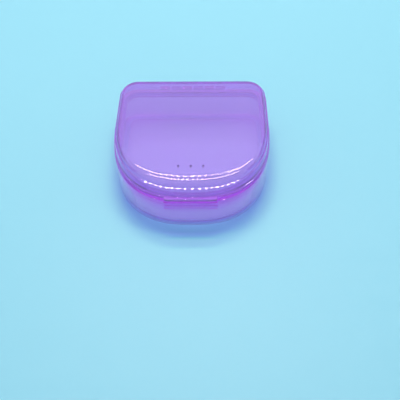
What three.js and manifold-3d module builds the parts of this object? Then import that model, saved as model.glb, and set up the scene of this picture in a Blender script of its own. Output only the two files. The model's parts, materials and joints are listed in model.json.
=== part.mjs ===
import * as THREE from 'three';
import { mergeVertices } from 'three/addons/utils/BufferGeometryUtils.js';
import Module from 'manifold-3d';

// Denture case, closed: a deep D-shaped tray and a shallow lid, hinged on one pin along the straight back.
// Millimetres, +Z up, +Y towards the hinge. The origin is under the middle of the closed case.

// Overall sizes
const caseWidth = 80.4;
const bodyDepth = 78.9; // front of the thumb rest to the back wall
const trayHeight = 19.7; // up to the top of the rim
const lidHeight = 8; // above its seat, to the middle of the crown

// Plan outline, the same D for every level
const frontReach = 47.3; // from the front to where the straight sides begin
const cornerRadius = 9.8; // at the two back corners
const leastCornerRadius = 0.8;
const sideTaper = 0.85; // each side draws in this much towards the back
const frontRoundness = 2.5; // exponent of the front curve: 2 is an ellipse, more is squarer

// Clearances
const closingGap = 0.3; // between the lid and the tray's rim
const pinGap = 0.3; // between the pin and its bores
const lipGap = 0.5; // between the lid's lip and the mouth of the tray
const overrun = 1; // how far a cutting body runs past the face that it opens

// Tray
const trayWall = 1.6;
const trayFloor = 1.6;
const trayDraft = 0.1; // the wall draws in this much from the band to the foot, at the sides and back
const frontDraft = 0.65; // the same at the front
const footRounding = 1.3;
const footWidth = 3.2; // flat ring that the case stands on
const footHeight = 0.5; // of that ring below the middle of the floor
const floorFillet = 2;
const bandHeight = 4.7; // thick band round the rim
const bandProud = 0.2;
const bandEdge = 0.25;
const ledgeSide = 2.8; // width of the rim's flat top, at the sides
const ledgeFront = 4.6;
const ledgeBack = 2.5;
const ledgeThickness = 2.1; // at its inner edge
const haunchHeight = 2; // slope under the ledge

// Thumb rest, a pad with a straight front on the band under the lid's tab
const restWidth = 26.8;
const restProud = 0.35; // beyond the middle of the band
const restSill = 2.85; // height of its lower part, which stands proud
const restDepth = 3;
const restRounding = 0.6;

// Lid
const lidWall = 1.5;
const lidCrown = 0.3;
const flangeHeight = 1.6;
const flangeEdge = 0.2;
const flangeSide = 0.15; // how far the flange stands back from the rim's outline
const flangeFront = 1.8; // the same at the front, from the thumb rest
const flangeBack = 0.2;
const flangeProud = 0.4; // beyond the lid's wall
const plateHeight = 1.2; // flat rim plate between the wall and the lip
const shoulderHeight = 1.6; // rounding between the wall and the top
const shoulderSide = 1.5;
const shoulderFront = 3.6;
const shoulderBack = 0.9;
const stepHeight = 4.6; // level of the small step round the wall, above the seat
const stepIn = 0.6;
const stepEdge = 0.15;
const sideLeanShare = 0.1; // how far each wall leans in for each unit of height
const frontLeanShare = 0.62;
const backLeanShare = 0.03;

// Lip that plugs into the tray's mouth
const lipDepth = 2.6;
const lipWall = 1.1;
const lipBead = 0.2;
const beadHeight = 0.7;

// Thumb tab of the lid
const tabWidth = 26.4;
const tabReach = 0.95; // beyond the flange at the middle
const tabDepth = 3.4;
const tabRounding = 1.6;

// Vent holes in the top of the lid
const ventCount = 3;
const ventPitch = 6.2;
const ventRadius = 0.8;
const ventSetback = 17.3; // from the front of the thumb rest

// Hinge
const knuckleCount = 6;
const knucklePitch = 5.95;
const knuckleGap = 0.6;
const barrelRadius = 2;
const pinRadius = 0.9;
const pinChamfer = 0.25;
const pinInset = 0.3; // the pin's ends lie this far inside the outer knuckles
const hingeSetback = 0.55; // of the pin's axis behind the back wall
const trayWebReach = 1.2; // how far a knuckle's web runs in from the back wall
const lidWebReach = 1.8;

// Facet counts
const frontSegments = 15; // each side of the middle
const cornerSegments = 6;
const roundSegments = 4;
const crownSegments = 4;
const barrelSegments = 24;
const ventSegments = 12;

// Places that follow from the sizes
const hingeOverhang = hingeSetback + barrelRadius;
const frontY = -(bodyDepth + hingeOverhang) / 2;
const backY = frontY + bodyDepth;
const shoulderY = frontY + frontReach;
const middleY = (frontY + backY) / 2;
const seatLevel = trayHeight + closingGap;
const bandLevel = trayHeight - bandHeight;
const flangeTop = seatLevel + flangeHeight;
const stepLevel = seatLevel + stepHeight;
const plateTop = seatLevel + plateHeight;
const crownEdgeLevel = seatLevel + lidHeight - lidCrown;
const shoulderLevel = crownEdgeLevel - shoulderHeight;
const pinY = backY + hingeSetback;
const pinLevel = trayHeight + closingGap / 2;
const knuckleLength = knucklePitch - knuckleGap;
const hingeLength = knuckleCount * knucklePitch - knuckleGap;

const wasm = await Module();
wasm.setup();

// A level of a shell: its height, and how far it stands in from the rim's outline on each side.
function row(level, side, front = side, back = side) {
  return { level, side, front, back };
}

// The D outline of one level, anticlockwise from above, beginning at the left shoulder.
function outline({ level, side, front, back }) {
  const halfWidth = caseWidth / 2 - side;
  const reach = frontReach - front;
  const radius = Math.max(cornerRadius - back, leastCornerRadius);
  const cornerX = halfWidth - sideTaper - radius;
  const cornerY = backY - back - radius;
  const points = [];
  for (let i = -frontSegments; i <= frontSegments; i++) {
    const turn = (i / frontSegments) * (Math.PI / 2);
    const across = Math.sign(i) * Math.abs(Math.sin(turn)) ** (2 / frontRoundness);
    const along = Math.max(Math.cos(turn), 0) ** (2 / frontRoundness);
    points.push(new THREE.Vector3(halfWidth * across, shoulderY - reach * along, level));
  }
  for (const hand of [1, -1]) {
    for (let i = 0; i <= cornerSegments; i++) {
      const share = hand > 0 ? i / cornerSegments : 1 - i / cornerSegments;
      const turn = share * (Math.PI / 2);
      const x = hand * (cornerX + radius * Math.cos(turn));
      points.push(new THREE.Vector3(x, cornerY + radius * Math.sin(turn), level));
    }
  }
  return points;
}

// A closed body through the outlines of some rows, from the lowest up, with a crowned or a flat top.
function loft(rows, crown = 0) {
  const rings = rows.map(outline);
  const edge = rings.at(-1);
  const bottom = new THREE.Vector3(0, middleY, rows[0].level);
  const top = new THREE.Vector3(0, middleY, rows.at(-1).level + crown);
  for (let i = 1; crown > 0 && i < crownSegments; i++) {
    const share = i / crownSegments;
    const level = top.z - crown * (1 - share) ** 2;
    rings.push(edge.map((point) => new THREE.Vector3().lerpVectors(point, top, share).setZ(level)));
  }
  const count = edge.length;
  const points = [...rings.flat(), bottom, top];
  const faces = [];
  for (let j = 0; j < count; j++) {
    const next = (j + 1) % count;
    for (let i = 0; i + 1 < rings.length; i++) {
      const low = i * count;
      const high = low + count;
      faces.push(low + j, low + next, high + next, low + j, high + next, high + j);
    }
    const last = (rings.length - 1) * count;
    faces.push(points.length - 2, next, j, points.length - 1, last + j, last + next);
  }
  const geometry = new THREE.BufferGeometry().setFromPoints(points);
  geometry.setIndex(faces);
  return toSolid(geometry);
}

// A three.js geometry as a solid that can be cut and joined.
function toSolid(geometry) {
  const bare = geometry.clone();
  bare.deleteAttribute('normal');
  bare.deleteAttribute('uv');
  const merged = mergeVertices(bare);
  const vertProperties = merged.attributes.position.array;
  const triVerts = Uint32Array.from(merged.index.array);
  return new wasm.Manifold(new wasm.Mesh({ numProp: 3, vertProperties, triVerts }));
}

// A solid as a three.js geometry.
function toGeometry(solid) {
  const { vertProperties, triVerts } = solid.getMesh();
  const geometry = new THREE.BufferGeometry();
  geometry.setAttribute('position', new THREE.BufferAttribute(vertProperties, 3));
  geometry.setIndex(new THREE.BufferAttribute(triVerts, 1));
  geometry.computeVertexNormals();
  return geometry;
}

// A box between two corners.
function block(low, high) {
  const size = new THREE.Vector3().subVectors(high, low);
  const middle = new THREE.Vector3().addVectors(low, high).multiplyScalar(0.5);
  const geometry = new THREE.BoxGeometry(size.x, size.y, size.z);
  return toSolid(geometry.translate(middle.x, middle.y, middle.z));
}

// A round bar along X, centred on the pin's axis.
function barOnAxis(x, radius, length) {
  const geometry = new THREE.CylinderGeometry(radius, radius, length, barrelSegments);
  geometry.rotateZ(Math.PI / 2).translate(x, pinY, pinLevel);
  return toSolid(geometry);
}

// An upright slab with a straight front and rounded front corners.
function slab(width, front, depth, rounding, low, height) {
  const half = width / 2;
  const shape = new THREE.Shape();
  shape.moveTo(-half, front + depth);
  shape.lineTo(-half, front + rounding);
  shape.absarc(-half + rounding, front + rounding, rounding, Math.PI, 1.5 * Math.PI);
  shape.lineTo(half - rounding, front);
  shape.absarc(half - rounding, front + rounding, rounding, 1.5 * Math.PI, 2 * Math.PI);
  shape.lineTo(half, front + depth);
  shape.closePath();
  const options = { depth: height, bevelEnabled: false, curveSegments: roundSegments };
  return toSolid(new THREE.ExtrudeGeometry(shape, options).translate(0, 0, low));
}

// Rows of the quarter round where a wall meets the flat at its foot, from the lowest up.
function footRows(level, side, front, radius) {
  const rows = [];
  for (let i = 0; i <= roundSegments; i++) {
    const turn = (i / roundSegments) * (Math.PI / 2);
    const inset = radius * (1 - Math.sin(turn));
    rows.push(row(level + radius * (1 - Math.cos(turn)), side + inset, front + inset, side + inset));
  }
  return rows;
}

// Middle of each knuckle along X. The tray's knuckles are the even ones and the lid's are the odd ones.
function knucklePlaces(parity) {
  const places = [];
  for (let i = parity; i < knuckleCount; i += 2) {
    places.push((i - (knuckleCount - 1) / 2) * knucklePitch);
  }
  return places;
}

// Room for the other piece's knuckles, which turn in it.
function knuckleRoom(parity) {
  const length = knuckleLength + 2 * knuckleGap;
  const rooms = knucklePlaces(parity).map((x) => barOnAxis(x, barrelRadius + pinGap, length));
  return rooms.reduce((all, room) => all.add(room));
}

// One piece's knuckles, each on a web that joins it to the wall between two levels.
function knuckles(parity, webReach, webLow, webHigh) {
  const bars = knucklePlaces(parity).map((x) => {
    const low = new THREE.Vector3(x - knuckleLength / 2, backY - webReach, webLow);
    const high = new THREE.Vector3(x + knuckleLength / 2, pinY, webHigh);
    return barOnAxis(x, barrelRadius, knuckleLength).add(block(low, high));
  });
  return bars.reduce((all, bar) => all.add(bar));
}

function pinBore() {
  return barOnAxis(0, pinRadius + pinGap, hingeLength + 2 * knuckleGap);
}

// A row of the tray, by its inset from the band. The band's front stands behind that of the thumb rest.
function trayRow(level, inset, front = inset) {
  return row(level, inset, restProud + front, inset);
}

function trayShell() {
  return loft([
    ...footRows(0, bandProud + trayDraft, restProud + bandProud + frontDraft, footRounding),
    trayRow(bandLevel, bandProud),
    trayRow(bandLevel + bandEdge, 0),
    trayRow(trayHeight - bandEdge, 0),
    trayRow(trayHeight, bandEdge),
  ]);
}

function trayHollow() {
  const inner = bandProud + trayWall;
  const ledgeUnderside = trayHeight - ledgeThickness;
  return loft([
    ...footRows(trayFloor + footHeight, inner + trayDraft, restProud + inner + frontDraft, floorFillet),
    trayRow(ledgeUnderside - haunchHeight, inner),
    row(ledgeUnderside, ledgeSide, ledgeFront, ledgeBack),
    row(trayHeight + overrun, ledgeSide, ledgeFront, ledgeBack),
  ]);
}

function trayUndercut() {
  const inner = bandProud + footRounding + footWidth;
  const cut = (level) => trayRow(level, inner + trayDraft, inner + frontDraft);
  return loft([cut(-overrun), cut(footHeight)]);
}

// The lower part of the rest is a sill that stands proud of the upper part.
function thumbRest() {
  const upper = slab(restWidth, frontY + restProud, restDepth, restRounding, bandLevel, bandHeight);
  const sill = slab(restWidth, frontY, restDepth, restRounding, bandLevel, restSill);
  return upper.add(sill);
}

function makeTray() {
  const web = [pinLevel - barrelRadius, trayHeight];
  const solid = trayShell()
    .add(thumbRest())
    .subtract(trayHollow())
    .subtract(trayUndercut())
    .subtract(knuckleRoom(1))
    .add(knuckles(0, trayWebReach, ...web))
    .subtract(pinBore());
  return toGeometry(solid);
}

// Rows of the lid above its flange, on the outside or, with a wall thickness, on the inside.
function lidRows(wall) {
  const leanWall = wall * Math.hypot(1, frontLeanShare);
  const rounding = (width) => Math.max(width - wall, 0);
  // Across is the share of the shoulder that lies between the wall and this level.
  const at = (level, inset, across = 0) => {
    const rise = level - flangeTop;
    const start = flangeProud + inset;
    const side = flangeSide + start + wall + rise * sideLeanShare + across * rounding(shoulderSide);
    const front = flangeFront + start + leanWall + rise * frontLeanShare + across * rounding(shoulderFront);
    const back = flangeBack + start + wall + rise * backLeanShare + across * rounding(shoulderBack);
    return row(level, side, front, back);
  };
  const rows = [];
  if (wall === 0) {
    rows.push(at(flangeTop, 0), at(stepLevel - stepEdge, 0), at(stepLevel, stepEdge));
    rows.push(at(stepLevel + stepEdge, stepIn));
  } else {
    rows.push(at(plateTop, 0));
  }
  for (let i = 0; i <= roundSegments; i++) {
    const turn = (i / roundSegments) * (Math.PI / 2);
    rows.push(at(shoulderLevel + rounding(shoulderHeight) * Math.sin(turn), stepIn, 1 - Math.cos(turn)));
  }
  return rows;
}

function lidShell() {
  return loft([
    row(seatLevel, flangeSide + flangeEdge, flangeFront + flangeEdge, flangeBack + flangeEdge),
    row(seatLevel + flangeEdge, flangeSide, flangeFront, flangeBack),
    row(flangeTop - flangeEdge, flangeSide, flangeFront, flangeBack),
    row(flangeTop, flangeSide + flangeEdge, flangeFront + flangeEdge, flangeBack + flangeEdge),
    ...lidRows(0),
  ], lidCrown);
}

// The lip's outside, with a bead round it that snaps under the ledge.
function lidLip() {
  const at = (level, inset) => {
    const gap = lipGap + inset;
    return row(level, ledgeSide + gap, ledgeFront + gap, ledgeBack + gap);
  };
  const low = seatLevel - lipDepth;
  return loft([
    at(low, lipBead),
    at(low + beadHeight / 2, -lipBead),
    at(low + beadHeight, 0),
    at(plateTop, 0),
  ]);
}

function lidHollow() {
  const inset = lipGap + lipWall;
  const lip = (level) => row(level, ledgeSide + inset, ledgeFront + inset, ledgeBack + inset);
  return loft([lip(seatLevel - lipDepth - overrun), lip(plateTop), ...lidRows(lidWall)], lidCrown);
}

function thumbTab() {
  const front = frontY + flangeFront - tabReach;
  return slab(tabWidth, front, tabDepth, tabRounding, seatLevel, flangeHeight);
}

function ventHoles() {
  const length = lidWall + 2 * overrun;
  const holes = [];
  for (let i = 0; i < ventCount; i++) {
    const x = (i - (ventCount - 1) / 2) * ventPitch;
    const geometry = new THREE.CylinderGeometry(ventRadius, ventRadius, length, ventSegments);
    geometry.rotateX(Math.PI / 2).translate(x, frontY + ventSetback, crownEdgeLevel - lidWall / 2);
    holes.push(toSolid(geometry));
  }
  return holes.reduce((all, hole) => all.add(hole));
}

function makeLid() {
  const web = [seatLevel, pinLevel + barrelRadius];
  const solid = lidShell()
    .add(lidLip())
    .add(thumbTab())
    .subtract(lidHollow())
    .subtract(ventHoles())
    .subtract(knuckleRoom(0))
    .add(knuckles(1, lidWebReach, ...web))
    .subtract(pinBore());
  return toGeometry(solid);
}

function makePin() {
  const half = hingeLength / 2 - pinInset;
  const profile = [
    new THREE.Vector2(0, -half),
    new THREE.Vector2(pinRadius - pinChamfer, -half),
    new THREE.Vector2(pinRadius, -half + pinChamfer),
    new THREE.Vector2(pinRadius, half - pinChamfer),
    new THREE.Vector2(pinRadius - pinChamfer, half),
    new THREE.Vector2(0, half),
  ];
  return new THREE.LatheGeometry(profile, barrelSegments);
}

// Clear tinted plastic, seen through. The lid shows twice its wall, so it looks deeper than the tray.
function tintedPlastic(color, opacity) {
  return new THREE.MeshStandardMaterial({ color, opacity, transparent: true, roughness: 0.12, metalness: 0 });
}

const tray = new THREE.Mesh(makeTray(), tintedPlastic(0xa98df0, 0.55));
tray.name = 'tray';

const lid = new THREE.Mesh(makeLid(), tintedPlastic(0x9d83ec, 0.65));
lid.name = 'lid';

const hingePin = new THREE.Mesh(makePin(), tintedPlastic(0x8e63d8, 0.85));
hingePin.name = 'hinge_pin';
hingePin.rotation.z = -Math.PI / 2;
hingePin.position.set(0, pinY, pinLevel);

const dentureCase = new THREE.Group();
dentureCase.name = 'denture_case';
dentureCase.add(tray, lid, hingePin);

export default dentureCase;
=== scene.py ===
import json
import math

import bmesh
import bpy
from mathutils import Matrix, Vector


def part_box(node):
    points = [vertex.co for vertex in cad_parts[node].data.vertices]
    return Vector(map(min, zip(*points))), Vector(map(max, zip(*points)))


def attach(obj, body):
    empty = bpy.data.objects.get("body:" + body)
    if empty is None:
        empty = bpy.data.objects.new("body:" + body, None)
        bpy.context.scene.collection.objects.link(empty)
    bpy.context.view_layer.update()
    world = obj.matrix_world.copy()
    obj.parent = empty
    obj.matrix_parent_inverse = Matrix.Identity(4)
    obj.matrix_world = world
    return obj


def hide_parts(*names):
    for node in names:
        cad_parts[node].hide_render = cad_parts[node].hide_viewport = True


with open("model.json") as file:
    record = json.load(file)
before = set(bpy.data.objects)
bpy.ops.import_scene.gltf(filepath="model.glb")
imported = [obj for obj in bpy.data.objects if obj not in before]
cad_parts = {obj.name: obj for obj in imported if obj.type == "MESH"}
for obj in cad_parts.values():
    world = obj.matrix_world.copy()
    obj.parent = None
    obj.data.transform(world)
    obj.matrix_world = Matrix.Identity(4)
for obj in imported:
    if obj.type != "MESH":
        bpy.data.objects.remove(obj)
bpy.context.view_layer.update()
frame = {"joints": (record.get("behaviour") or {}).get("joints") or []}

# A hinged denture case in clear tinted plastic. Metres, +Z up, +Y towards the hinge.
MM = 0.001

# Sizes taken from the frame
TRAY_LOW, TRAY_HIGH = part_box("tray")
LID_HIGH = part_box("lid")[1]
PIN_LOW, PIN_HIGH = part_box("hinge_pin")
HINGE = Vector(frame["joints"][0]["pos_m"])
CASE_WIDTH = TRAY_HIGH.x - TRAY_LOW.x
FRONT_Y = TRAY_LOW.y
BARREL_RADIUS = TRAY_HIGH.y - HINGE.y
PIN_RADIUS = (PIN_HIGH.y - PIN_LOW.y) / 2

# Plan outline of the case, a D
HINGE_SETBACK = 0.55 * MM
BACK_Y = HINGE.y - HINGE_SETBACK
FRONT_REACH = 47.3 * MM
CORNER_RADIUS = 9.8 * MM
LEAST_CORNER = 0.8 * MM
SIDE_TAPER = 0.85 * MM
FRONT_ROUNDNESS = 2.5
SHOULDER_Y = FRONT_Y + FRONT_REACH
MIDDLE_Y = (FRONT_Y + BACK_Y) / 2
FRONT_STEPS = 44
SIDE_STEPS = 10
CORNER_STEPS = 14
BACK_STEPS = 26

# Tray
TRAY_HEIGHT = 19.7 * MM
CLOSING_GAP = 0.3 * MM
TRAY_WALL = 1.6 * MM
TRAY_FLOOR = 1.6 * MM
TRAY_DRAFT = 0.1 * MM
FRONT_DRAFT = 0.65 * MM
FOOT_ROUNDING = 1.3 * MM
FOOT_WIDTH = 3.2 * MM
FOOT_HEIGHT = 0.5 * MM
FLOOR_FILLET = 2 * MM
BAND_HEIGHT = 4.7 * MM
BAND_PROUD = 0.2 * MM
LEDGE_SIDE = 2.8 * MM
LEDGE_FRONT = 4.6 * MM
LEDGE_BACK = 2.5 * MM
LEDGE_THICKNESS = 2.1 * MM
HAUNCH_HEIGHT = 2 * MM
BAND_LEVEL = TRAY_HEIGHT - BAND_HEIGHT
LEDGE_UNDER = TRAY_HEIGHT - LEDGE_THICKNESS

# Thumb rest on the band
REST_WIDTH = 26.8 * MM
REST_PROUD = 0.35 * MM
REST_SILL = 2.85 * MM
REST_STEP = 0.18 * MM
REST_DEPTH = 3 * MM
REST_ROUNDING = 0.6 * MM

# Lid
SEAT = TRAY_HEIGHT + CLOSING_GAP
LID_WALL = 1.5 * MM
LID_CROWN = 0.3 * MM
FLANGE_HEIGHT = 1.6 * MM
FLANGE_SIDE = 0.15 * MM
FLANGE_FRONT = 1.8 * MM
FLANGE_BACK = 0.2 * MM
FLANGE_PROUD = 0.4 * MM
PLATE_HEIGHT = 1.2 * MM
SHOULDER_HEIGHT = 1.6 * MM
SHOULDER_SIDE = 1.5 * MM
SHOULDER_FRONT = 5.0 * MM
SHOULDER_BACK = 0.9 * MM
STEP_HEIGHT = 5.2 * MM
STEP_IN = 0.6 * MM
STEP_DROP = 0.0335 * MM
SIDE_LEAN_SHARE = 0.1
FRONT_LEAN_SHARE = 0.62
BACK_LEAN_SHARE = 0.03
LIP_GAP = 0.5 * MM
LIP_DEPTH = 2.6 * MM
LIP_WALL = 1.1 * MM
LIP_BEAD = 0.2 * MM
BEAD_HEIGHT = 0.7 * MM
FLANGE_TOP = SEAT + FLANGE_HEIGHT
STEP_LEVEL = SEAT + STEP_HEIGHT
CROWN_EDGE = LID_HIGH.z - LID_CROWN
SHOULDER_LEVEL = CROWN_EDGE - SHOULDER_HEIGHT
PLATE_TOP = SEAT + PLATE_HEIGHT

# Thumb tab and vent holes
TAB_WIDTH = 26.4 * MM
TAB_REACH = 0.95 * MM
TAB_DEPTH = 3.4 * MM
TAB_ROUNDING = 1.6 * MM
VENT_COUNT = 3
VENT_PITCH = 6.2 * MM
VENT_RADIUS = 0.6 * MM
VENT_SETBACK = 17.3 * MM

# Hinge
KNUCKLE_COUNT = 6
KNUCKLE_PITCH = 5.95 * MM
KNUCKLE_GAP = 0.6 * MM
KNUCKLE_EDGE = 0.25 * MM
PIN_GAP = 0.3 * MM
PIN_CHAMFER = 0.25 * MM
TRAY_WEB_REACH = 1.2 * MM
LID_WEB_REACH = 1.8 * MM
KNUCKLE_LENGTH = KNUCKLE_PITCH - KNUCKLE_GAP
HINGE_LENGTH = KNUCKLE_COUNT * KNUCKLE_PITCH - KNUCKLE_GAP

# Edges, and how finely the shapes are divided
FINE_EDGE = 0.18 * MM
STEP_EDGE = 0.09 * MM
RIM_EDGE = 0.27 * MM
INNER_EDGE = 0.36 * MM
HAUNCH_EDGE = 0.9 * MM
FLOOR_EDGE = 2.4 * MM
ROUND_STEPS = 5
SHOULDER_STEPS = 20
FLAT_RINGS = 9
CROWN_RINGS = 26
CROWN_POWER = 2.0
CROWN_GATHER = 1.6
CUT_OVERRUN = 1 * MM
MERGE_DISTANCE = 0.001 * MM
SMOOTH_ANGLE = math.radians(32)

# View of the photograph: the camera looks at a point on the ground
AIM = Vector((4.18 * MM, -22.78 * MM, 0))
CAMERA_DISTANCE = 465.4 * MM
CAMERA_ELEVATION = math.radians(51.25)
CAMERA_AZIMUTH = math.radians(1.69)
CAMERA_ROLL = math.radians(1.37)
CAMERA_LENS = 81.0
SENSOR_WIDTH = 36.0
CAMERA_CLIP = 10 * MM

# Light. Two long soft lamps hang above and behind the case, and just in front of each hangs a row of small
# cells, which shows in the glossy plastic. The room is pale low down and darker above, with a bright band.
# Each of its stops is a height in the sky, as the sine of the elevation, and a strength.
ROOM_LIGHT = (
    (0.001, 0.85), (0.34, 0.70), (0.60, 0.34), (0.69, 0.42), (0.72, 0.42),
    (0.75, 0.90), (0.79, 0.90), (0.84, 0.42), (0.999, 0.42),
)
ROOM_COLOR = (0.57, 0.80, 1.08, 1)
LAMP_AIM = Vector((0, 0, 10 * MM))
LAMP_COLOR = (1.0, 0.89, 0.90)
# Elevation, length and watts of each lamp
SOFT_LAMPS = ((math.radians(59.4), 0.40, 1.20), (math.radians(73.5), 0.60, 3.15))
CELL_LAMPS = ((math.radians(59.0), 0.42, 1.05), (math.radians(73.0), 0.48, 1.00))
SOFT_DISTANCE = 0.9
SOFT_DEPTH = 0.06
CELL_DISTANCE = 0.882
CELL_DEPTH = 0.04
CELL_PITCH = 0.0135
CELL_SHARE = 0.35

# Floor
FLOOR_REACH = 4
FLOOR_TONES = (0.325, 0.72, 0.765, 1), (0.345, 0.74, 0.785, 1)

# Plastics. The tint runs from the low level to the high one, along levels that slope down towards the front
# for a slope above zero. The depth tint and density colour what passes through, and milk is the cloudy share.
TRAY_FINISH = {
    "low": BAND_LEVEL - BAND_HEIGHT, "high": TRAY_HEIGHT, "slope": 0.12,
    "low_tint": (1.0, 0.95, 1.0), "high_tint": (1.0, 0.24, 1.0),
    "depth_tint": (0.97, 0.04, 0.99), "density": 260.0, "milk": 0.25, "seed": 0.1,
}
LID_FINISH = {
    "low": SEAT, "high": LID_HIGH.z, "slope": -0.1,
    "low_tint": (0.93, 0.54, 1.0), "high_tint": (0.89, 0.70, 1.0),
    "depth_tint": (0.94, 0.28, 0.99), "density": 180.0, "milk": 0.14, "seed": 0.4,
}
PIN_FINISH = {
    "low": PIN_LOW.z, "high": PIN_HIGH.z, "slope": 0.0,
    "low_tint": (0.88, 0.78, 0.94), "high_tint": (0.9, 0.8, 0.96),
    "depth_tint": (0.76, 0.36, 0.88), "density": 400.0, "milk": 0.2, "seed": 0.7,
}
# What one surface lets through to what lies behind it, in the light of the lamps
SHADE_TINT = (0.785, 0.99, 0.91)
CLOUD_SHARE = 0.15
GRAIN_SHARE = 0.03
GRAIN_DEPTH = 0.2 * MM


class Tree:
    """A node tree under construction."""

    def __init__(self, nodes_owner):
        self.owner = nodes_owner
        self.nodes = nodes_owner.nodes
        self.links = nodes_owner.links

    def add(self, kind, values=None, **settings):
        node = self.nodes.new(kind)
        for name, value in settings.items():
            setattr(node, name, value)
        for key, value in (values or {}).items():
            self.feed(node.inputs[key], value)
        return node

    def feed(self, socket, value):
        if isinstance(value, bpy.types.NodeSocket):
            self.links.new(value, socket)
        else:
            socket.default_value = value

    def math(self, operation, *values):
        return self.add("ShaderNodeMath", dict(enumerate(values)), operation=operation).outputs[0]

    def mix(self, share, low, high):
        """A number between two others."""
        span = self.math("SUBTRACT", high, low)
        return self.math("MULTIPLY_ADD", share, span, low)


def shape_tree(name, sizes):
    """A Geometry Nodes tree with a named input for each size, and its input and output nodes."""
    group = bpy.data.node_groups.new(name, "GeometryNodeTree")
    interface = group.interface
    interface.new_socket(name="Geometry", in_out="INPUT", socket_type="NodeSocketGeometry")
    for label, kind in sizes.items():
        interface.new_socket(name=label, in_out="INPUT", socket_type=kind)
    interface.new_socket(name="Geometry", in_out="OUTPUT", socket_type="NodeSocketGeometry")
    tree = Tree(group)
    return tree, tree.add("NodeGroupInput"), tree.add("NodeGroupOutput")


def d_shell_tree():
    """Bends rings of loose points into the D outline of the case. Each point carries its height, how far it
    stands in from the rim on each side, and its place along the outline."""
    number = "NodeSocketFloat"
    labels = ("Half Width", "Shoulder Y", "Front Reach", "Roundness", "Back Y", "Corner Radius",
              "Least Radius", "Side Taper", "Middle Y")
    sizes = {label: number for label in labels}
    sizes["Material"] = "NodeSocketMaterial"
    tree, given, out = shape_tree("d_shell", sizes)

    def attribute(name):
        return tree.add("GeometryNodeInputNamedAttribute", {"Name": name}, data_type="FLOAT").outputs[0]

    half = tree.math("SUBTRACT", given.outputs["Half Width"], attribute("side"))
    reach = tree.math("SUBTRACT", given.outputs["Front Reach"], attribute("front"))
    power = tree.math("DIVIDE", 2.0, given.outputs["Roundness"])
    turn = attribute("front_turn")
    across = tree.math("POWER", tree.math("MAXIMUM", tree.math("SINE", turn), 0.0), power)
    ahead = tree.math("POWER", tree.math("MAXIMUM", tree.math("COSINE", turn), 0.0), power)
    front_x = tree.math("MULTIPLY", half, across)
    front_y = tree.math("SUBTRACT", given.outputs["Shoulder Y"], tree.math("MULTIPLY", reach, ahead))

    radius = tree.math("SUBTRACT", given.outputs["Corner Radius"], attribute("back"))
    radius = tree.math("MAXIMUM", radius, given.outputs["Least Radius"])
    bend = attribute("corner_turn")
    inner_x = tree.math("SUBTRACT", tree.math("SUBTRACT", half, given.outputs["Side Taper"]), radius)
    inner_y = tree.math("SUBTRACT", tree.math("SUBTRACT", given.outputs["Back Y"], attribute("back")), radius)
    back_x = tree.math("MULTIPLY_ADD", radius, tree.math("COSINE", bend), inner_x)
    back_y = tree.math("MULTIPLY_ADD", radius, tree.math("SINE", bend), inner_y)

    along = attribute("along")
    spread = attribute("spread")
    middle = given.outputs["Middle Y"]
    x = tree.math("MULTIPLY", attribute("hand"), tree.mix(along, front_x, back_x))
    y = tree.mix(along, front_y, back_y)
    place = tree.add("ShaderNodeCombineXYZ", {
        "X": tree.math("MULTIPLY", x, spread),
        "Y": tree.mix(spread, middle, y),
        "Z": attribute("level"),
    })
    moved = tree.add("GeometryNodeSetPosition", {
        "Geometry": given.outputs["Geometry"],
        "Position": place.outputs[0],
    })
    closed = tree.add("GeometryNodeMergeByDistance", {
        "Geometry": moved.outputs[0],
        "Distance": MERGE_DISTANCE,
    })
    real = tree.add("GeometryNodeRealizeInstances", {"Geometry": closed.outputs[0]})
    done = tree.add("GeometryNodeSetMaterial", {
        "Geometry": real.outputs[0],
        "Material": given.outputs["Material"],
    })
    tree.feed(out.inputs["Geometry"], done.outputs[0])
    return tree.owner


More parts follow.
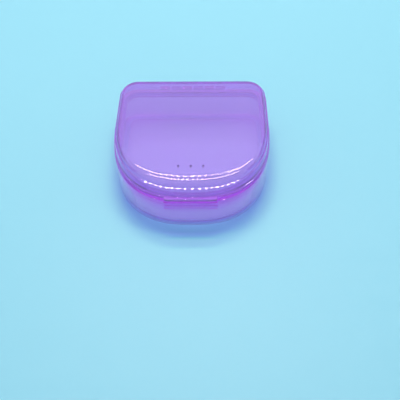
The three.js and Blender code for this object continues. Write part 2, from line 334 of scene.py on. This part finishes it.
def barrel_row_tree():
    """A row of round bars with rounded ends, each along one direction and set out along X."""
    number, vector, whole = "NodeSocketFloat", "NodeSocketVector", "NodeSocketInt"
    sizes = {
        "First": vector, "Step": vector, "Count": whole, "Half Length": vector, "Length": number,
        "Radius": number, "Edge": number, "Sides": whole, "Rings": whole, "Material": "NodeSocketMaterial",
    }
    tree, given, out = shape_tree("barrel_row", sizes)

    def scaled(share):
        values = {0: given.outputs["Half Length"], "Scale": share}
        return tree.add("ShaderNodeVectorMath", values, operation="SCALE").outputs[0]

    line = tree.add("GeometryNodeCurvePrimitiveLine", {
        "Start": scaled(-1.0),
        "End": given.outputs["Half Length"],
    })
    rings = tree.add("GeometryNodeResampleCurve", {"Curve": line.outputs[0], "Count": given.outputs["Rings"]})

    # Rings gather towards both ends, where the edge is rounded
    factor = tree.add("GeometryNodeSplineParameter").outputs["Factor"]
    angle = tree.math("MULTIPLY", tree.math("SUBTRACT", factor, 0.5), math.pi)
    share = tree.math("SINE", angle)
    gathered = tree.add("GeometryNodeSetPosition", {"Geometry": rings.outputs[0], "Position": scaled(share)})

    half = tree.math("MULTIPLY", given.outputs["Length"], 0.5)
    left = tree.math("SUBTRACT", half, tree.math("MULTIPLY", tree.math("ABSOLUTE", share), half))
    depth = tree.math("SUBTRACT", 1.0, tree.math("DIVIDE", left, given.outputs["Edge"]))
    depth = tree.math("MINIMUM", tree.math("MAXIMUM", depth, 0.0), 1.0)
    height = tree.math("SQRT", tree.math("SUBTRACT", 1.0, tree.math("MULTIPLY", depth, depth)))
    lost = tree.math("MULTIPLY", given.outputs["Edge"], tree.math("SUBTRACT", 1.0, height))
    scale = tree.math("DIVIDE", tree.math("SUBTRACT", given.outputs["Radius"], lost), given.outputs["Radius"])

    circle = tree.add("GeometryNodeCurvePrimitiveCircle", {
        "Resolution": given.outputs["Sides"],
        "Radius": given.outputs["Radius"],
    })
    bar = tree.add("GeometryNodeCurveToMesh", {
        "Curve": gathered.outputs[0],
        "Profile Curve": circle.outputs[0],
        "Scale": scale,
        "Fill Caps": True,
    })
    places = tree.add("GeometryNodeMeshLine", {
        "Count": given.outputs["Count"],
        "Start Location": given.outputs["First"],
        "Offset": given.outputs["Step"],
    })
    copies = tree.add("GeometryNodeInstanceOnPoints", {
        "Points": places.outputs[0],
        "Instance": bar.outputs[0],
    })
    real = tree.add("GeometryNodeRealizeInstances", {"Geometry": copies.outputs[0]})
    done = tree.add("GeometryNodeSetMaterial", {
        "Geometry": real.outputs[0],
        "Material": given.outputs["Material"],
    })
    tree.feed(out.inputs["Geometry"], done.outputs[0])
    return tree.owner


def bake_tree(mesh, tree, values):
    """The plain mesh that a Geometry Nodes tree makes from a mesh and its named inputs."""
    source = bpy.data.objects.new(mesh.name, mesh)
    bpy.context.scene.collection.objects.link(source)
    modifier = source.modifiers.new("shape", "NODES")
    modifier.node_group = tree
    for item in tree.interface.items_tree:
        if item.item_type == "SOCKET" and item.in_out == "INPUT" and item.name in values:
            modifier[item.identifier] = values[item.name]
    return plain_copy(source)


def plain_copy(source):
    """A new object with the evaluated mesh of another, which is deleted."""
    bpy.context.view_layer.update()
    evaluated = source.evaluated_get(bpy.context.evaluated_depsgraph_get())
    name = source.name
    mesh = bpy.data.meshes.new_from_object(evaluated)
    bpy.data.objects.remove(source)
    made = bpy.data.objects.new(name, mesh)
    bpy.context.scene.collection.objects.link(made)
    return made


# Rows of the shells: a height, and how far it stands in from the rim at the sides, the front and the back
def row(level, side, front=None, back=None):
    front = side if front is None else front
    back = side if back is None else back
    return Vector((level, side, front, back))


def rounded(corners, steps=ROUND_STEPS):
    """Rows through some corners, each given with its rounding."""
    rows = []
    for i, (corner, radius) in enumerate(corners):
        if radius == 0 or i in (0, len(corners) - 1):
            rows.append(corner)
            continue
        sides = []
        for other in (corners[i - 1][0], corners[i + 1][0]):
            reach = (other - corner).length
            sides.append(corner.lerp(other, min(radius / reach, 0.5)))
        for k in range(steps + 1):
            t = k / steps
            rows.append(sides[0].lerp(corner, t).lerp(corner.lerp(sides[1], t), t))
    return rows


def outline_places():
    """Places along the outline, anticlockwise from the middle of the front. Each is the turn along the front
    curve, how far along the side, the turn of the back corner, and the hand, 1 to -1 along the back."""
    quarter = math.pi / 2
    right = [(quarter * i / FRONT_STEPS, 0.0, 0.0, 1.0) for i in range(FRONT_STEPS + 1)]
    right += [(quarter, i / SIDE_STEPS, 0.0, 1.0) for i in range(1, SIDE_STEPS)]
    right += [(quarter, 1.0, quarter * i / CORNER_STEPS, 1.0) for i in range(CORNER_STEPS + 1)]
    back = [(quarter, 1.0, quarter, 1 - 2 * i / BACK_STEPS) for i in range(1, BACK_STEPS)]
    left = [(turn, along, bend, -1.0) for turn, along, bend, _ in reversed(right[1:])]
    return right + back + left


def d_shell(name, rows, tree, material):
    """A closed shell through rows, each given with its spread, 1 at the outline and 0 at the pole."""
    places = outline_places()
    count = len(places)
    names = ("level", "side", "front", "back", "spread", "front_turn", "along", "corner_turn", "hand")
    values = {key: [] for key in names}
    for spread, (level, side, front, back) in rows:
        for place in places:
            for key, value in zip(names, (level, side, front, back, spread, *place)):
                values[key].append(value)
    faces = []
    for i in range(len(rows) - 1):
        for j in range(count):
            low, high = i * count, (i + 1) * count
            after = (j + 1) % count
            faces.append((low + j, low + after, high + after, high + j))
    mesh = bpy.data.meshes.new(name)
    mesh.from_pydata([(0, 0, 0)] * (count * len(rows)), [], faces)
    for key in names:
        attribute = mesh.attributes.new(key, "FLOAT", "POINT")
        attribute.data.foreach_set("value", values[key])
    made = bake_tree(mesh, tree, {
        "Half Width": CASE_WIDTH / 2, "Shoulder Y": SHOULDER_Y, "Front Reach": FRONT_REACH,
        "Roundness": FRONT_ROUNDNESS, "Back Y": BACK_Y, "Corner Radius": CORNER_RADIUS,
        "Least Radius": LEAST_CORNER, "Side Taper": SIDE_TAPER, "Middle Y": MIDDLE_Y, "Material": material,
    })
    for key in names:
        stale = made.data.attributes.get(key)
        if stale:
            made.data.attributes.remove(stale)
    return made


def flat_disc(edge):
    """Level rows from the pole out to an edge row, a few of them, so that the long faces stay even."""
    return [(i / FLAT_RINGS, edge) for i in range(FLAT_RINGS)]


def crown_disc(edge):
    """Rows from the pole out to an edge row, over a low crown. They gather at the edge."""
    rows = []
    for i in range(CROWN_RINGS):
        spread = 1 - (1 - i / CROWN_RINGS) ** CROWN_GATHER
        rows.append((spread, edge + row(LID_CROWN * (1 - spread ** CROWN_POWER), 0)))
    return rows


def tray_row(level, inset, front=None):
    """A row of the tray, whose front lies behind the thumb rest."""
    front = inset if front is None else front
    return row(level, inset, REST_PROUD + front, inset)


def tray_rows():
    """The tray from the middle of its underside out round the wall and in to the middle of its floor."""
    foot = FOOT_ROUNDING + FOOT_WIDTH
    inner = BAND_PROUD + TRAY_WALL
    recess_level = tray_row(FOOT_HEIGHT, BAND_PROUD + TRAY_DRAFT + foot, BAND_PROUD + FRONT_DRAFT + foot)
    recess_foot = recess_level - row(FOOT_HEIGHT, 0)
    recess_inside = recess_level + row(0, FOOT_WIDTH)
    floor_edge = tray_row(TRAY_FLOOR + FOOT_HEIGHT, inner + TRAY_DRAFT, inner + FRONT_DRAFT)
    floor_inside = floor_edge + row(0, FLOOR_FILLET * 2)
    corners = [
        (recess_inside, 0),
        (recess_level, FINE_EDGE),
        (recess_foot, FINE_EDGE),
        (tray_row(0, BAND_PROUD + TRAY_DRAFT, BAND_PROUD + FRONT_DRAFT), FOOT_ROUNDING),
        (tray_row(BAND_LEVEL, BAND_PROUD), STEP_EDGE),
        (tray_row(BAND_LEVEL + FINE_EDGE, 0), FINE_EDGE),
        (tray_row(TRAY_HEIGHT, 0), RIM_EDGE),
        (row(TRAY_HEIGHT, LEDGE_SIDE, LEDGE_FRONT, LEDGE_BACK), RIM_EDGE),
        (row(LEDGE_UNDER, LEDGE_SIDE, LEDGE_FRONT, LEDGE_BACK), RIM_EDGE),
        (tray_row(LEDGE_UNDER - HAUNCH_HEIGHT, inner), HAUNCH_EDGE),
        (floor_edge, FLOOR_EDGE),
        (floor_inside, 0),
    ]
    wall = [(1, each) for each in rounded(corners)]
    return flat_disc(recess_inside) + wall + flat_disc(floor_inside)[::-1]


def lid_wall_row(level, inset, wall, across=0.0):
    """A row of the lid's wall above the flange. Across is the share of the shoulder that lies outside it."""
    rise = level - FLANGE_TOP
    lean_wall = wall * math.hypot(1, FRONT_LEAN_SHARE)
    start = FLANGE_PROUD + inset

    def rounding(width):
        return max(width - wall, 0) * across

    side = FLANGE_SIDE + start + wall + rise * SIDE_LEAN_SHARE + rounding(SHOULDER_SIDE)
    front = FLANGE_FRONT + start + lean_wall + rise * FRONT_LEAN_SHARE + rounding(SHOULDER_FRONT)
    back = FLANGE_BACK + start + wall + rise * BACK_LEAN_SHARE + rounding(SHOULDER_BACK)
    return row(level, side, front, back)


def shoulder_rows(wall):
    """The lid's rounded shoulder from the wall up to the crown, outside or one wall thickness further in."""
    rows = []
    for i in range(SHOULDER_STEPS + 1):
        turn = math.pi / 2 * i / SHOULDER_STEPS
        level = SHOULDER_LEVEL + max(SHOULDER_HEIGHT - wall, 0) * math.sin(turn)
        rows.append(lid_wall_row(level, STEP_IN, wall, 1 - math.cos(turn)))
    return rows


def lid_rows():
    """The lid from the middle of its ceiling down the inside, round the lip and flange, and up to its top."""
    inside = shoulder_rows(LID_WALL)[::-1]
    outside = shoulder_rows(0)
    lip_out = row(0, LEDGE_SIDE + LIP_GAP, LEDGE_FRONT + LIP_GAP, LEDGE_BACK + LIP_GAP)
    lip_in = lip_out + row(0, LIP_WALL)
    lip_low = SEAT - LIP_DEPTH
    bead = row(0, LIP_BEAD)

    flange = row(0, FLANGE_SIDE, FLANGE_FRONT, FLANGE_BACK)
    lower = [
        (inside[-1], 0),
        (lid_wall_row(PLATE_TOP, 0, LID_WALL), INNER_EDGE),
        (lip_in + row(PLATE_TOP, 0), INNER_EDGE),
        (lip_in + row(lip_low, 0), FINE_EDGE),
        (lip_out + bead + row(lip_low, 0), FINE_EDGE),
        (lip_out - bead + row(lip_low + BEAD_HEIGHT / 2, 0), FINE_EDGE),
        (lip_out + row(lip_low + BEAD_HEIGHT, 0), FINE_EDGE),
        (lip_out + row(SEAT, 0), FINE_EDGE),
        (flange + row(SEAT, 0), RIM_EDGE),
        (flange + row(FLANGE_TOP, 0), RIM_EDGE),
        (lid_wall_row(FLANGE_TOP, 0, 0), RIM_EDGE),
        (lid_wall_row(STEP_LEVEL - STEP_DROP, 0, 0), STEP_EDGE),
        (lid_wall_row(STEP_LEVEL, STEP_IN, 0), STEP_EDGE),
        (outside[0], 0),
    ]
    rows = [*inside, *rounded(lower)[1:-1], *outside]
    walls = [(1, each) for each in rows]
    return crown_disc(inside[0]) + walls + crown_disc(outside[-1])[::-1]


def barrels(name, tree, material, first, step, count, axis, length, radius, edge, sides=64, rings=41):
    """Round bars with rounded ends, set out in a row."""
    empty = bpy.data.meshes.new(name)
    return bake_tree(empty, tree, {
        "First": first, "Step": step, "Count": count, "Half Length": axis * (length / 2), "Length": length,
        "Radius": radius, "Edge": edge, "Sides": sides, "Rings": rings, "Material": material,
    })


def slab_outline(width, front, depth, rounding, inset):
    """A rectangle seen from above with rounded front corners, anticlockwise."""
    half = width / 2 - inset
    near = front + inset
    far = front + depth
    radius = max(rounding - inset, FINE_EDGE / 4)
    points = []
    for hand in (-1, 1):
        for i in range(ROUND_STEPS * 2 + 1):
            share = i / (ROUND_STEPS * 2) if hand < 0 else 1 - i / (ROUND_STEPS * 2)
            turn = math.pi / 2 * share
            x = hand * (half - radius + radius * math.cos(turn))
            points.append((x, near + radius - radius * math.sin(turn)))
    return points + [(half, far), (-half, far)]


def slab(name, width, front, depth, rounding, low, high, edge=FINE_EDGE):
    """An upright slab with a straight front, rounded front corners and eased edges."""
    rings = []
    for base, way in ((low, 1), (high, -1)):
        part = []
        for i in range(ROUND_STEPS + 1):
            turn = math.pi / 2 * i / ROUND_STEPS
            level = base + way * edge * (1 - math.cos(turn))
            part.append((level, edge * (1 - math.sin(turn))))
        rings += part if way > 0 else part[::-1]
    mesh = bmesh.new()
    loops = []
    for level, inset in rings:
        points = slab_outline(width, front, depth, rounding, inset)
        loops.append([mesh.verts.new((x, y, level)) for x, y in points])
    for lower, upper in zip(loops, loops[1:]):
        for j in range(len(lower)):
            after = (j + 1) % len(lower)
            mesh.faces.new((lower[j], lower[after], upper[after], upper[j]))
    mesh.faces.new(loops[0][::-1])
    mesh.faces.new(loops[-1])
    return mesh_object(name, mesh)


def box_piece(name, low, high, edge=FINE_EDGE):
    """A box between two corners with eased edges."""
    mesh = bmesh.new()
    size = Vector(high) - Vector(low)
    middle = (Vector(high) + Vector(low)) / 2
    bmesh.ops.create_cube(mesh, size=1, matrix=Matrix.Translation(middle) @ Matrix.Diagonal((*size, 1)))
    bmesh.ops.bevel(mesh, geom=mesh.edges[:], offset=edge, segments=2, profile=0.5, affect="EDGES")
    return mesh_object(name, mesh)


def mesh_object(name, mesh):
    """A new object from a mesh under construction, with its faces outwards."""
    bmesh.ops.recalc_face_normals(mesh, faces=mesh.faces[:])
    data = bpy.data.meshes.new(name)
    mesh.to_mesh(data)
    mesh.free()
    made = bpy.data.objects.new(name, data)
    bpy.context.scene.collection.objects.link(made)
    return made


def combine(target, tools, operation):
    """Joins or cuts closed meshes one after another. The tools are deleted."""
    for tool in tools:
        modifier = target.modifiers.new(operation, "BOOLEAN")
        modifier.operation = operation
        modifier.solver = "MANIFOLD"
        modifier.object = tool
    made = plain_copy(target)
    for tool in tools:
        bpy.data.objects.remove(tool)
    return made


def knuckle_places(parity):
    """Where every second knuckle lies along the hinge: the tray's for 0, the lid's for 1."""
    middle = (KNUCKLE_COUNT - 1) / 2
    return [(i - middle) * KNUCKLE_PITCH for i in range(parity, KNUCKLE_COUNT, 2)]


def knuckle_row(name, tree, parity, radius, length, edge):
    """Every second knuckle, or a cutter of that form."""
    first = Vector((knuckle_places(parity)[0], HINGE.y, HINGE.z))
    step = Vector((2 * KNUCKLE_PITCH, 0, 0))
    count = len(knuckle_places(parity))
    return barrels(name, tree, None, first, step, count, Vector((1, 0, 0)), length, radius, edge)


def knuckle_room(tree, parity):
    """A cutter that leaves room for the knuckles of the other shell."""
    length = KNUCKLE_LENGTH + 2 * KNUCKLE_GAP
    return knuckle_row("room", tree, parity, BARREL_RADIUS + PIN_GAP, length, FINE_EDGE)


def pin_bore(tree):
    """A cutter for the hole of the pin through every knuckle."""
    length = HINGE_LENGTH + 2 * KNUCKLE_GAP
    return barrels("bore", tree, None, HINGE, Vector((1, 0, 0)), 1, Vector((1, 0, 0)), length,
                   PIN_RADIUS + PIN_GAP, FINE_EDGE)


def knuckle_webs(parity, reach, low, high):
    """Blocks that join the knuckles to the wall."""
    half = KNUCKLE_LENGTH / 2
    webs = []
    for x in knuckle_places(parity):
        webs.append(box_piece("web", (x - half, BACK_Y - reach, low), (x + half, HINGE.y, high)))
    return webs


def smooth(piece):
    """Soft shading over gentle bends, with crisp edges and flat faces kept. Gives the finished piece."""
    mesh = piece.data
    mesh.shade_smooth()
    mesh.set_sharp_from_angle(angle=SMOOTH_ANGLE)
    modifier = piece.modifiers.new("even", "WEIGHTED_NORMAL")
    modifier.keep_sharp = True
    return plain_copy(piece)


def thumb_rest():
    """The rest on the tray's band, with a sill that stands out under it."""
    shape = {"width": REST_WIDTH, "depth": REST_DEPTH, "rounding": REST_ROUNDING, "low": BAND_LEVEL}
    rest = slab("rest", front=FRONT_Y + REST_STEP, high=TRAY_HEIGHT, **shape)
    sill = slab("sill", front=FRONT_Y, high=BAND_LEVEL + REST_SILL, edge=REST_STEP, **shape)
    return [rest, sill]


def make_tray(shell_tree, bar_tree, material):
    tray = d_shell("tray_shell", tray_rows(), shell_tree, material)
    tray = combine(tray, thumb_rest(), "UNION")
    tray = combine(tray, [knuckle_room(bar_tree, 1)], "DIFFERENCE")
    own = knuckle_row("own", bar_tree, 0, BARREL_RADIUS, KNUCKLE_LENGTH, KNUCKLE_EDGE)
    webs = knuckle_webs(0, TRAY_WEB_REACH, HINGE.z - BARREL_RADIUS, TRAY_HEIGHT)
    tray = combine(tray, [own, *webs], "UNION")
    return combine(tray, [pin_bore(bar_tree)], "DIFFERENCE")


def vent_cutters(tree):
    """Cutters for the row of holes near the front of the lid's top."""
    length = LID_WALL + 2 * CUT_OVERRUN
    first = Vector((-(VENT_COUNT - 1) / 2 * VENT_PITCH, FRONT_Y + VENT_SETBACK, CROWN_EDGE - LID_WALL / 2))
    return barrels("vents", tree, None, first, Vector((VENT_PITCH, 0, 0)), VENT_COUNT, Vector((0, 0, 1)),
                   length, VENT_RADIUS, INNER_EDGE, sides=40, rings=13)


def make_lid(shell_tree, bar_tree, material):
    lid = d_shell("lid_shell", lid_rows(), shell_tree, material)
    tab_front = FRONT_Y + FLANGE_FRONT - TAB_REACH
    tab = slab("tab", TAB_WIDTH, tab_front, TAB_DEPTH, TAB_ROUNDING, SEAT, FLANGE_TOP, RIM_EDGE)
    lid = combine(lid, [tab], "UNION")
    lid = combine(lid, [knuckle_room(bar_tree, 0), vent_cutters(bar_tree)], "DIFFERENCE")
    own = knuckle_row("own", bar_tree, 1, BARREL_RADIUS, KNUCKLE_LENGTH, KNUCKLE_EDGE)
    webs = knuckle_webs(1, LID_WEB_REACH, SEAT, HINGE.z + BARREL_RADIUS)
    lid = combine(lid, [own, *webs], "UNION")
    return combine(lid, [pin_bore(bar_tree)], "DIFFERENCE")


def make_pin(tree, material):
    length = PIN_HIGH.x - PIN_LOW.x
    return barrels("hinge_rod", tree, material, HINGE, Vector((1, 0, 0)), 1, Vector((1, 0, 0)), length,
                   PIN_RADIUS, PIN_CHAMFER)


def tinted_plastic(name, low, high, slope, low_tint, high_tint, depth_tint, density, milk, seed):
    """Clear glossy plastic, tinted through its thickness and a little milky, with faint moulding marks."""
    material = bpy.data.materials.new(name)
    material.use_nodes = True
    tree = Tree(material.node_tree)
    tree.nodes.clear()
    output = tree.add("ShaderNodeOutputMaterial")
    place = tree.add("ShaderNodeTexCoord").outputs["Object"]
    shift = tree.add("ShaderNodeMapping", {"Vector": place, "Location": (seed, seed / 2, -seed)})
    at = shift.outputs[0]

    # A tint that changes between two levels, measured at the front, and is broadly uneven
    parts = tree.add("ShaderNodeSeparateXYZ", {0: place})
    rise = tree.math("MULTIPLY_ADD", parts.outputs["Y"], -slope, parts.outputs["Z"])
    share = tree.add("ShaderNodeMapRange", {
        "Value": rise, "From Min": low - slope * FRONT_Y, "From Max": high - slope * FRONT_Y,
    })
    cloud = tree.add("ShaderNodeTexNoise", {"Vector": at, "Scale": 38.0, "Detail": 3.0, "Roughness": 0.5})
    shade = tree.mix(CLOUD_SHARE, share.outputs[0], cloud.outputs["Fac"])
    tone = tree.add("ShaderNodeValToRGB", {"Fac": shade})
    tone.color_ramp.elements[0].color = (*low_tint, 1)
    tone.color_ramp.elements[1].color = (*high_tint, 1)

    # Faint ripple from moulding and fine grain
    ripple = tree.add("ShaderNodeTexNoise", {"Vector": at, "Scale": 160.0, "Detail": 2.0})
    grain = tree.add("ShaderNodeTexNoise", {"Vector": at, "Scale": 2600.0, "Detail": 2.0})
    height = tree.mix(GRAIN_SHARE, ripple.outputs["Fac"], grain.outputs["Fac"])
    bump = tree.add("ShaderNodeBump", {"Height": height, "Strength": 0.008, "Distance": GRAIN_DEPTH})

    # Rubbed and clean patches
    rubs = tree.add("ShaderNodeTexNoise", {"Vector": at, "Scale": 90.0, "Detail": 6.0, "Roughness": 0.7})
    gloss = tree.add("ShaderNodeMapRange", {
        "Value": rubs.outputs["Fac"], "From Min": 0.35, "From Max": 0.75, "To Min": 0.01, "To Max": 0.035,
    })
    plastic = tree.add("ShaderNodeBsdfPrincipled", {
        "Base Color": tone.outputs["Color"], "Roughness": gloss.outputs[0], "Normal": bump.outputs[0],
        "IOR": 1.40, "Transmission Weight": 1 - milk,
        "Coat Weight": 0.8, "Coat Roughness": 0.015, "Coat IOR": 1.6,
    })
    absorb = tree.add("ShaderNodeVolumeAbsorption", {"Color": (*depth_tint, 1), "Density": density})

    # Light from the lamps and the floor reaches what lies behind the plastic
    through = tree.add("ShaderNodeBsdfTransparent", {"Color": (*SHADE_TINT, 1)})
    path = tree.add("ShaderNodeLightPath")
    soft = tree.add("ShaderNodeMixShader", {
        0: path.outputs["Is Diffuse Ray"], 1: plastic.outputs[0], 2: through.outputs[0],
    })
    mix = tree.add("ShaderNodeMixShader", {
        0: path.outputs["Is Shadow Ray"], 1: soft.outputs[0], 2: through.outputs[0],
    })
    tree.feed(output.inputs["Surface"], mix.outputs[0])
    tree.feed(output.inputs["Volume"], absorb.outputs[0])
    return material


def table_top():
    """Pale satin surface."""
    material = bpy.data.materials.new("table_top")
    material.use_nodes = True
    tree = Tree(material.node_tree)
    plastic = tree.nodes["Principled BSDF"]
    place = tree.add("ShaderNodeTexCoord").outputs["Object"]
    cloud = tree.add("ShaderNodeTexNoise", {"Vector": place, "Scale": 6.0, "Detail": 2.0})
    tone = tree.add("ShaderNodeValToRGB", {"Fac": cloud.outputs["Fac"]})
    tone.color_ramp.elements[0].color, tone.color_ramp.elements[1].color = FLOOR_TONES
    tree.feed(plastic.inputs["Base Color"], tone.outputs["Color"])
    plastic.inputs["Roughness"].default_value = 0.42
    return material


def make_floor():
    """The table top that the case stands on."""
    mesh = bmesh.new()
    bmesh.ops.create_grid(mesh, x_segments=2, y_segments=2, size=FLOOR_REACH)
    floor = mesh_object("floor", mesh)
    floor.data.materials.append(table_top())


def soft_lamp(name, elevation, distance, length, depth, power):
    """A long lamp above and behind the case, which lights it but isn't seen in it."""
    lamp = bpy.data.lights.new(name, "AREA")
    lamp.shape = "RECTANGLE"
    lamp.size = length
    lamp.size_y = depth
    lamp.energy = power
    lamp.color = LAMP_COLOR
    made = bpy.data.objects.new(name, lamp)
    made.location = Vector((0, math.cos(elevation), math.sin(elevation))) * distance
    made.rotation_euler = (LAMP_AIM - made.location).to_track_quat("-Z", "Y").to_euler()
    made.visible_glossy = False
    made.visible_transmission = False
    bpy.context.scene.collection.objects.link(made)
    return made


def cell_lamp(name, elevation, distance, length, depth, power):
    """A long lamp made of a row of small bright cells, which glossy faces reflect."""
    made = soft_lamp(name, elevation, distance, length, depth, power)
    made.visible_glossy = True
    made.data.use_nodes = True
    tree = Tree(made.data.node_tree)
    along = tree.add("ShaderNodeSeparateXYZ", {0: tree.add("ShaderNodeNewGeometry").outputs["Parametric"]})
    share = tree.math("FRACT", tree.math("MULTIPLY", along.outputs["X"], length / CELL_PITCH))
    lit = tree.math("LESS_THAN", share, CELL_SHARE)
    tree.feed(tree.nodes["Emission"].inputs["Strength"], tree.math("DIVIDE", lit, CELL_SHARE))


def make_room():
    """A world whose light changes with the height in the sky."""
    world = bpy.data.worlds.new("studio")
    world.use_nodes = True
    tree = Tree(world.node_tree)
    sky = tree.add("ShaderNodeTexCoord").outputs["Generated"]
    height = tree.add("ShaderNodeSeparateXYZ", {0: sky}).outputs["Z"]
    ramp = tree.add("ShaderNodeValToRGB", {"Fac": height})
    for place, value in ROOM_LIGHT:
        stop = ramp.color_ramp.elements.new(place)
        stop.color = (value, value, value, 1)
    ramp.color_ramp.elements.remove(ramp.color_ramp.elements[0])
    ramp.color_ramp.elements.remove(ramp.color_ramp.elements[-1])
    background = tree.nodes["Background"]
    background.inputs["Color"].default_value = ROOM_COLOR
    tree.feed(background.inputs["Strength"], ramp.outputs["Color"])
    bpy.context.scene.world = world


def make_lights():
    """The room and its four lamps."""
    make_room()
    for elevation, length, power in SOFT_LAMPS:
        soft_lamp("soft", elevation, SOFT_DISTANCE, length, SOFT_DEPTH, power)
    for elevation, length, power in CELL_LAMPS:
        cell_lamp("cells", elevation, CELL_DISTANCE, length, CELL_DEPTH, power)


def make_camera():
    """A camera with the view of the photograph."""
    data = bpy.data.cameras.new("camera")
    data.lens = CAMERA_LENS
    data.sensor_width = SENSOR_WIDTH
    data.clip_start = CAMERA_CLIP
    camera = bpy.data.objects.new("camera", data)
    flat = math.cos(CAMERA_ELEVATION)
    level = Vector((math.sin(CAMERA_AZIMUTH), -math.cos(CAMERA_AZIMUTH), 0))
    back = level * flat + Vector((0, 0, math.sin(CAMERA_ELEVATION)))
    right = Vector((math.cos(CAMERA_AZIMUTH), math.sin(CAMERA_AZIMUTH), 0))
    up = back.cross(right)
    turned_right = right * math.cos(CAMERA_ROLL) - up * math.sin(CAMERA_ROLL)
    turned_up = right * math.sin(CAMERA_ROLL) + up * math.cos(CAMERA_ROLL)
    turn = Matrix((turned_right, turned_up, back)).transposed().to_4x4()
    camera.matrix_world = Matrix.Translation(AIM + back * CAMERA_DISTANCE) @ turn
    bpy.context.scene.collection.objects.link(camera)
    bpy.context.scene.camera = camera


def main():
    shell_tree = d_shell_tree()
    bar_tree = barrel_row_tree()
    tray_finish = tinted_plastic("tray_plastic", **TRAY_FINISH)
    lid_finish = tinted_plastic("lid_plastic", **LID_FINISH)
    pin_finish = tinted_plastic("pin_plastic", **PIN_FINISH)
    pieces = (
        (make_tray(shell_tree, bar_tree, tray_finish), tray_finish, "tray", "tray", "tray_plastic"),
        (make_lid(shell_tree, bar_tree, lid_finish), lid_finish, "lid", "lid", "lid_plastic"),
        (make_pin(bar_tree, pin_finish), pin_finish, "tray", "hinge_pin", "pin_plastic"),
    )
    for piece, finish, body, node, slot in pieces:
        piece.data.materials.clear()
        piece.data.materials.append(finish)
        piece = smooth(piece)
        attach(piece, body)
        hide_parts(node)
    make_floor()
    make_lights()
    make_camera()
    bpy.context.scene.view_settings.view_transform = "Standard"


main()
